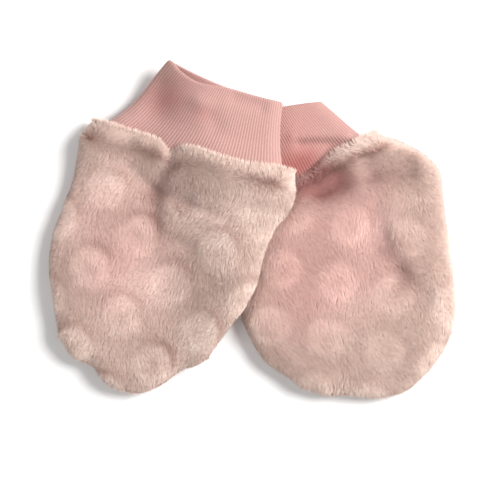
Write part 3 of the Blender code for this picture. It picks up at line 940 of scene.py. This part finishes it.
# %% The tree that grows the pile
def pile_tree():
    """Blades on a bed, leaned by its comb, pulled into locks, and marked for the material."""
    inputs = (
        ("Density", "Float", 1e6),
        ("Length", "Float", 0.003),
        ("Width", "Float", 0.0004),
        ("Lean", "Float", 1.6),
        ("Locks", "Float", 5e5),
        ("Clinging", "Float", 0.5),
        ("Facing", "Vector", (0.0, 0.0, 0.8)),
        ("Floor", "Float", 0.0),
        ("Seed", "Int", 1),
        ("Blade", "Object", None),
        ("Material", "Material", None),
    )
    tree, start, end = new_tree("pile", inputs)
    value = start.outputs
    bed = value["Geometry"]
    scatter = add(tree, "GeometryNodeDistributePointsOnFaces", Mesh=bed, Density=value["Density"])
    tree.links.new(value["Seed"], scatter.inputs["Seed"])
    locks = add(tree, "GeometryNodeDistributePointsOnFaces", Mesh=bed, Density=value["Locks"])
    tree.links.new(maths(tree, "ADD", value["Seed"], LOCK_SEED), locks.inputs["Seed"])
    points, normal = scatter.outputs["Points"], scatter.outputs["Normal"]

    here = add(tree, "GeometryNodeInputPosition").outputs[0]
    nearest = add(tree, "GeometryNodeSampleNearest", Geometry=locks.outputs["Points"])
    nearest.domain = "POINT"
    lock = add(tree, "GeometryNodeSampleIndex", {"data_type": "FLOAT_VECTOR"})
    tree.links.new(locks.outputs["Points"], lock.inputs["Geometry"])
    tree.links.new(here, lock.inputs["Value"])
    tree.links.new(nearest.outputs["Index"], lock.inputs["Index"])
    to_lock = vectors(tree, "SUBTRACT", lock.outputs[0], here)
    per_length = maths(tree, "DIVIDE", value["Clinging"], value["Length"])
    pull = vectors(tree, "SCALE", to_lock, scale=per_length)

    loose = add(tree, "FunctionNodeRandomValue", {"data_type": "FLOAT_VECTOR"})
    loose.inputs["Min"].default_value = (-LOOSE, -LOOSE, -LOOSE)
    loose.inputs["Max"].default_value = (LOOSE, LOOSE, LOOSE)
    tree.links.new(value["Seed"], loose.inputs["Seed"])
    comb = vectors(tree, "SCALE", read(tree, "comb", "FLOAT_VECTOR"), scale=value["Lean"])
    laid = maths(tree, "MULTIPLY", read(tree, "rest"), RESTING_STAND)
    stand = vectors(tree, "SCALE", normal, scale=maths(tree, "SUBTRACT", 1.0, laid))
    stroked = vectors(tree, "ADD", comb, stand)
    strayed = vectors(tree, "ADD", pull, loose.outputs[0])
    way = vectors(tree, "NORMALIZE", vectors(tree, "ADD", stroked, strayed))

    turn = add(tree, "FunctionNodeAlignRotationToVector", {"axis": "Z"}, Vector=way)
    facing = vectors(tree, "ADD", normal, value["Facing"])
    about_z = {"axis": "Y", "pivot_axis": "Z"}
    turn = add(tree, "FunctionNodeAlignRotationToVector", about_z, Rotation=turn.outputs[0])
    tree.links.new(facing, turn.inputs["Vector"])
    roll = add(tree, "FunctionNodeRandomValue", {"data_type": "FLOAT"}, i2=-BLADE_ROLL, i3=BLADE_ROLL)
    rolled = add(tree, "FunctionNodeAxisAngleToRotation", Axis=(0.0, 0.0, 1.0))
    tree.links.new(roll.outputs[1], rolled.inputs["Angle"])
    turned = add(tree, "FunctionNodeRotateRotation", {"rotation_space": "LOCAL"})
    tree.links.new(turn.outputs[0], turned.inputs["Rotation"])
    tree.links.new(rolled.outputs[0], turned.inputs["Rotate By"])

    shortest, longest = BLADE_LENGTHS
    stretch = add(tree, "FunctionNodeRandomValue", {"data_type": "FLOAT"}, i2=shortest, i3=longest)
    length = maths(tree, "MULTIPLY", value["Length"], stretch.outputs[1])
    length = maths(tree, "MULTIPLY", length, read(tree, "short"))
    size = add(tree, "ShaderNodeCombineXYZ", X=value["Width"], Y=length, Z=length)
    leaf = add(tree, "GeometryNodeObjectInfo", Object=value["Blade"]).outputs["Geometry"]
    placed = add(tree, "GeometryNodeInstanceOnPoints", Points=points, Instance=leaf)
    tree.links.new(turned.outputs[0], placed.inputs["Rotation"])
    tree.links.new(size.outputs[0], placed.inputs["Scale"])

    tone = add(tree, "FunctionNodeRandomValue", {"data_type": "FLOAT"}, i2=0.0, i3=1.0)
    marks = {
        "tone": tone.outputs[1],
        "blush": read(tree, "pink"),
        "open": read(tree, "parted"),
        "lift": read(tree, "lift"),
    }
    blades = placed.outputs[0]
    for name, mark in marks.items():
        noted = add(tree, "GeometryNodeStoreNamedAttribute", {"domain": "INSTANCE"}, Name=name)
        tree.links.new(blades, noted.inputs["Geometry"])
        tree.links.new(mark, noted.inputs["Value"])
        blades = noted.outputs[0]
    real = add(tree, "GeometryNodeRealizeInstances", Geometry=blades)

    place = add(tree, "ShaderNodeSeparateXYZ", Vector=here)
    height = maths(tree, "MAXIMUM", place.outputs["Z"], value["Floor"])
    kept = add(tree, "ShaderNodeCombineXYZ", X=place.outputs["X"], Y=place.outputs["Y"], Z=height)
    moved = add(tree, "GeometryNodeSetPosition", Geometry=real.outputs[0], Position=kept.outputs[0])
    dressed = add(tree, "GeometryNodeSetMaterial", Geometry=moved.outputs[0], Material=value["Material"])
    tree.links.new(dressed.outputs[0], end.inputs[0])
    return tree


# %% Grow the pile on the four panels
BLADE = blade()
PILE_TREE = pile_tree()
BLADES = {"front": 120000, "back": 45000}
BLADE_LENGTH = {"front": 0.0021, "back": 0.0020}
BLADE_WIDTH = 0.0003
BLADE_LEAN = 1.5
FACING = {"front": (0.0, 0.0, 0.8), "back": (0.0, 0.0, -0.4)}
LOCKS = 6e5
CLINGING = 0.42
OVER_FLOOR = 0.00005
FIRST_SEED = 11


def area_of(obj):
    """The whole surface of an object."""
    return sum(p.area for p in obj.data.polygons)


def grow_pile(key, seed):
    """(ground, pile) of one panel; its bed is used up."""
    name, side = key
    ground, bed = BEDS[key]
    blades = BLADES[side] * 1.0
    values = {
        "Density": blades / area_of(bed),
        "Length": BLADE_LENGTH[side],
        "Width": BLADE_WIDTH,
        "Lean": BLADE_LEAN,
        "Locks": LOCKS,
        "Clinging": CLINGING,
        "Facing": FACING[side],
        "Floor": OVER_FLOOR,
        "Seed": seed,
        "Blade": BLADE,
        "Material": PILE,
    }
    pile = grown(bed, PILE_TREE, values, f"{name}_{side}_pile")
    bpy.data.objects.remove(bed)
    return ground, pile


PLUSH = {key: grow_pile(key, seed) for seed, key in enumerate(BEDS, FIRST_SEED)}
bpy.data.objects.remove(BLADE)


# %% [markdown]
# ## The rib cuffs
#
# Rib knit is columns of raised stitches with sunk columns between, and each raised stitch is a small
# V. The cuff is folded double, so its mouth is a fold and not a cut edge. The tube is drawn smooth
# with a rib count and a course count on every point, and a short node tree raises the ribs and their
# stitches square to the cloth.

# %% Sizes of the knit
RIBS = 55
POINTS_PER_RIB = 6
COURSE = 0.8
COURSE_POINTS = 3
RIB_RELIEF = 0.0002
RIB_ROUNDNESS = 0.8
STITCH_DIP = 0.35
STITCH_SLANT = 1.1
OUTSIDE_INSET = 0.12
INSIDE_INSET = 0.1
INSIDE_RELIEF = 0.6
MOUTH_FOLD_STEPS = 6
INNER_ROWS = 8
CUFF_OVER_FLOOR = 0.00002


# %% Rib material
CUFF_PINK = (0.575, 0.36, 0.33, 1.0)
# Painted shade in the sunk columns between the ribs.
CUFF_SUNK = (0.48, 0.265, 0.24, 1.0)
# The colour of painted shade on the cuff, in patches where it dips.
CUFF_SHADE = (0.44, 0.16, 0.145, 1.0)
FUZZ = (0.88, 0.86, 0.85, 1.0)
FUZZ_SCALE = 1800.0
FUZZ_DETAIL = 3.0
FUZZ_EDGES = (0.3, 0.7)
SUNK_TO_RAISED = (0.1, 0.8)
RIB_ROUGHNESS = 0.85
RIB_SHEEN = 0.2


def rib_material():
    """Painted shade between the ribs, and a deeper painted shade in patches where the cuff dips."""
    material, tree, shader = surface("rib_knit", RIB_ROUGHNESS, RIB_SHEEN)
    # Painted shade in the sunk columns between the ribs.
    shade = blend(tree, ramp(tree, attribute(tree, "height"), *SUNK_TO_RAISED), CUFF_SUNK, CUFF_PINK)
    # Painted shade in patches where the cuff dips.
    shade = blend(tree, attribute(tree, "deep"), shade, CUFF_SHADE)
    fuzz = blend(tree, ramp(tree, object_noise(tree, FUZZ_SCALE, FUZZ_DETAIL), *FUZZ_EDGES), FUZZ, WHITE)
    shade = blend(tree, 1.0, shade, fuzz, "MULTIPLY")
    tree.links.new(shade, shader.inputs["Base Color"])
    return material


RIB = rib_material()


# %% The tree that raises ribs and stitches
def rib_tree():
    """Lifts a tube's points by the crest of their rib, less the dip between stitches."""
    inputs = (
        ("Relief", "Float", 0.0003),
        ("Stitch", "Float", 0.3),
        ("Material", "Material", None),
    )
    tree, start, end = new_tree("rib_knit", inputs)
    value = start.outputs
    rib, course, mask = read(tree, "rib"), read(tree, "course"), read(tree, "mask")
    phase = maths(tree, "FRACT", rib)
    off = maths(tree, "ABSOLUTE", maths(tree, "SUBTRACT", phase, 0.5))
    crest = maths(tree, "COSINE", maths(tree, "MULTIPLY", off, 2 * math.pi))
    crest = maths(tree, "MULTIPLY_ADD", crest, 0.5, 0.5)
    crest = maths(tree, "POWER", crest, RIB_ROUNDNESS)
    vee = maths(tree, "ADD", course, maths(tree, "MULTIPLY", off, STITCH_SLANT))
    loop = maths(tree, "COSINE", maths(tree, "MULTIPLY", vee, 2 * math.pi))
    loop = maths(tree, "MULTIPLY_ADD", loop, 0.5, 0.5)
    dip = maths(tree, "SUBTRACT", 1.0, maths(tree, "MULTIPLY", loop, value["Stitch"]))
    height = maths(tree, "MULTIPLY", maths(tree, "MULTIPLY", crest, dip), mask)
    noted = add(tree, "GeometryNodeStoreNamedAttribute", {"domain": "POINT"}, Name="height")
    tree.links.new(value["Geometry"], noted.inputs["Geometry"])
    tree.links.new(height, noted.inputs["Value"])
    normal = add(tree, "GeometryNodeInputNormal").outputs[0]
    lift = vectors(tree, "SCALE", normal, scale=maths(tree, "MULTIPLY", height, value["Relief"]))
    raised = add(tree, "GeometryNodeSetPosition", Geometry=noted.outputs[0], Offset=lift)
    real = add(tree, "GeometryNodeRealizeInstances", Geometry=raised.outputs[0])
    dressed = add(tree, "GeometryNodeSetMaterial", Geometry=real.outputs[0], Material=value["Material"])
    tree.links.new(dressed.outputs[0], end.inputs[0])
    return tree


RIB_TREE = rib_tree()


# %% Knit the cuffs
def cuff_rows(mitten):
    """(station, inset, course, mask) from the tucked end, out to the mouth's fold and back in."""
    half = CUFF_WALL / 2
    rows = []
    length = mitten.cuff_end - mitten.mouth - half
    count = round(length / COURSE * COURSE_POINTS)
    for k in range(count + 1):
        rows.append((mitten.cuff_end - length * k / count, OUTSIDE_INSET, k / COURSE_POINTS, 1.0))
    for k in range(1, MOUTH_FOLD_STEPS):
        angle = math.pi * k / MOUTH_FOLD_STEPS
        station = mitten.mouth + half * (1 - math.sin(angle))
        inset = half - (half - OUTSIDE_INSET) * math.cos(angle)
        rows.append((station, inset, count / COURSE_POINTS + k / MOUTH_FOLD_STEPS, 1.0))
    for k in range(INNER_ROWS + 1):
        station = mitten.mouth + half + length * k / INNER_ROWS
        rows.append((station, CUFF_WALL - INSIDE_INSET, 0.0, INSIDE_RELIEF))
    return rows


def cuff(mitten):
    """One mitten's cuff, knitted on a smooth tube."""
    around = 2 * RIBS * POINTS_PER_RIB
    turns = [2 * k / around for k in range(around)]
    rows = cuff_rows(mitten)
    local = [[mitten.cuff_point(t, s, inset) for t in turns] for s, inset, _, _ in rows]
    mesh = bmesh.new()
    grid = [[mesh.verts.new(mitten.settle(point)) for point in row] for row in local]
    grid_faces(mesh, grid + [grid[0]], closed=True)
    bmesh.ops.recalc_face_normals(mesh, faces=mesh.faces)
    smooth_tube = new_piece(f"{mitten.name}_smooth_cuff", mesh)
    carry(smooth_tube, "rib", [[k / POINTS_PER_RIB for k in range(around)] for _ in rows])
    carry(smooth_tube, "course", [[course] * around for _, _, course, _ in rows])
    above = np.array(turns) <= 1
    # Painted shade on the upper layer of the cuff.
    carry(smooth_tube, "deep", patches(np.array(local), mitten.facts["deep"]) * above)
    carry(smooth_tube, "mask", [[mask] * around for _, _, _, mask in rows])
    values = {"Relief": RIB_RELIEF, "Stitch": STITCH_DIP, "Material": RIB}
    knitted = grown(smooth_tube, RIB_TREE, values, f"{mitten.name}_rib_cuff")
    bpy.data.objects.remove(smooth_tube)
    knitted.data.shade_smooth()
    for vertex in knitted.data.vertices:
        vertex.co.z = max(vertex.co.z, CUFF_OVER_FLOOR)
    return knitted


CUFFS = {m.name: cuff(m) for m in MITTENS}

# %% [markdown]
# ## Riding on the body in place of the solids
#
# Every piece rides on the one body and takes over from the solid it was made on, which is hidden.
# Each cloth also prints the size it was cut to.


# %% Ride and replace
def cloth_area(obj):
    """Half the surface of a closed shell, in square metres."""
    return area_of(obj) / 2


for (name, side), (ground, pile) in PLUSH.items():
    for piece in (ground, pile):
        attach(piece, "root")
        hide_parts(f"{name}_{side}_panel")
    print(ground.name, "cloth area", round(cloth_area(ground), 5))

for name, piece in CUFFS.items():
    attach(piece, "root")
    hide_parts(f"{name}_cuff")
    print(piece.name, "cloth area", round(cloth_area(piece), 5))

# %% [markdown]
# ## Floor, light and camera
#
# The photograph looks straight down, with a soft light from the right, so slopes that face left fall
# into a mild shade. A weak second light and a pale world keep that shade open. A long lens far above
# keeps the layout free of perspective.


# %% Floor
FLOOR_SIZE = 6.0
FLOOR_ROUGHNESS = 0.9
FLOOR_PALE = (0.93, 0.93, 0.93, 1.0)


def stage_floor():
    bpy.ops.mesh.primitive_plane_add(size=FLOOR_SIZE, location=(0.0, 0.0, 0.0))
    floor = bpy.context.active_object
    floor.name = "floor"
    material, _, shader = surface("pale_floor", FLOOR_ROUGHNESS)
    shader.inputs["Base Color"].default_value = FLOOR_PALE
    floor.data.materials.append(material)


stage_floor()


# %% Lights
WARM = (1.0, 0.985, 0.97)
WORLD_STRENGTH = 0.35


def soft_light(name, place, size, power, colour=(1.0, 1.0, 1.0)):
    """A round lamp that points at the middle of the layout."""
    data = bpy.data.lights.new(name, "AREA")
    data.shape = "DISK"
    data.size = size
    data.energy = power
    data.color = colour
    light = bpy.data.objects.new(name, data)
    light.location = place
    light.rotation_euler = (-Vector(place)).to_track_quat("-Z", "Y").to_euler()
    bpy.context.scene.collection.objects.link(light)


soft_light("key", place=(0.62, 0.24, 0.70), size=0.50, power=13.0, colour=WARM)
soft_light("fill", place=(-0.5, -0.3, 0.9), size=0.8, power=2.6)
bpy.context.scene.view_settings.view_transform = "Standard"
world = bpy.data.worlds.new("studio")
bpy.context.scene.world = world
world.use_nodes = True
world.node_tree.nodes["Background"].inputs["Color"].default_value = WHITE
world.node_tree.nodes["Background"].inputs["Strength"].default_value = WORLD_STRENGTH

# %% Camera
VIEW_WIDTH = 0.175
VIEW_HEIGHT = 0.9
VIEW_CENTRE = (-0.00085, -0.0067)
CLOTH_HEIGHT = 0.010
SENSOR = 36.0
lens = bpy.data.cameras.new("camera")
lens.sensor_width = SENSOR
lens.lens = SENSOR * (VIEW_HEIGHT - CLOTH_HEIGHT) / VIEW_WIDTH
lens.clip_end = 10.0
camera = bpy.data.objects.new("camera", lens)
camera.location = (VIEW_CENTRE[0], VIEW_CENTRE[1], VIEW_HEIGHT)
bpy.context.scene.collection.objects.link(camera)
bpy.context.scene.camera = camera
